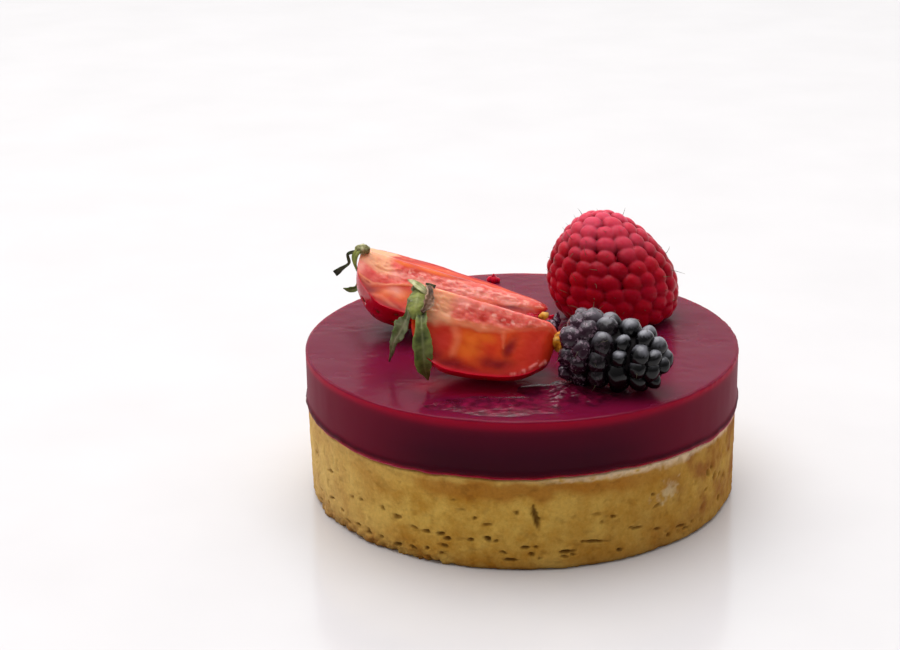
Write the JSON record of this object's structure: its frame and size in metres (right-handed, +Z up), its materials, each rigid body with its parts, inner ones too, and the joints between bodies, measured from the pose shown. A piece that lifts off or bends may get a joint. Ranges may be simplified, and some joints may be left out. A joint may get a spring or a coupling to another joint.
{
  "type": "fruit jelly tart",
  "caption": "Round single-portion tart: thick crumbly crust disc under a dark red jelly layer, topped with a raspberry, a bramble and two cut strawberry pieces with their leaves.",
  "frame": {"origin": "centre of the crust's flat underside, on the surface that the tart stands on", "axes": "+Z up through the layers; -Y towards the front, where the bramble and the front strawberry lie; +X to the right"},
  "size_m": [0.0806, 0.0806, 0.0481],
  "materials": {
    "crust": "baked crumbly shortcrust, matte",
    "jelly": "clear dark red set jelly, glossy",
    "raspberry": "ripe raspberry skin, satin with fine bloom",
    "bramble": "ripe black bramble skin, glossy",
    "strawberry": "moist cut strawberry flesh and red skin",
    "calyx": "wilted green sepals with brown tips"
  },
  "bodies": {
    "root": {"crust": "crust", "jelly": "jelly", "raspberry": "raspberry", "bramble": "bramble", "strawberry_front": "strawberry", "strawberry_back": "strawberry", "calyx_front": "calyx", "calyx_back": "calyx"}
  },
  "joints": []
}
